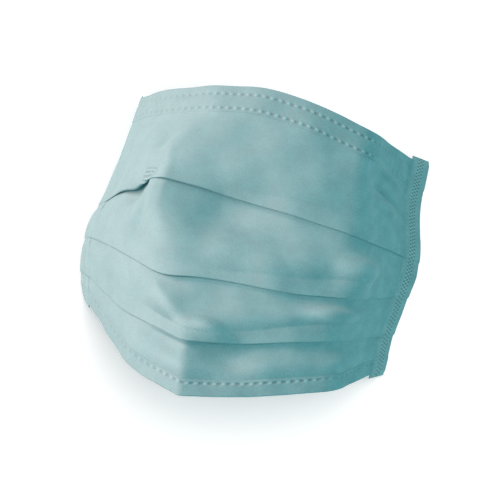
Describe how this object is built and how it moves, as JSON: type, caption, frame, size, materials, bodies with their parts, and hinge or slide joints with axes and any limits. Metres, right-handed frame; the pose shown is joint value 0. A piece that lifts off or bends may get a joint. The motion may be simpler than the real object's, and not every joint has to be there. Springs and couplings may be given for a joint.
{
  "type": "surgical face mask",
  "caption": "Pleated cloth face mask with bound sides and folded hems, opened into a dome and lying face up over its hollow.",
  "frame": {"origin": "on the floor, under the middle of the mask's overall box", "axes": "+Z points out of the mask's front, away from the face; +Y points to the edge that goes over the nose; +X to the side binding on the picture's right"},
  "size_m": [0.1384, 0.1372, 0.0497],
  "materials": {
    "body_cloth": "soft matt non-woven cloth, pale teal",
    "hem_cloth": "soft matt non-woven cloth, pale teal, pressed flat between rows of welds",
    "binding_cloth": "soft matt non-woven strip, pale teal, with a band of weld dots"
  },
  "bodies": {
    "root": {"pleated_body": "body_cloth", "top_hem": "hem_cloth", "bottom_hem": "hem_cloth", "left_binding": "binding_cloth", "right_binding": "binding_cloth"}
  },
  "joints": []
}
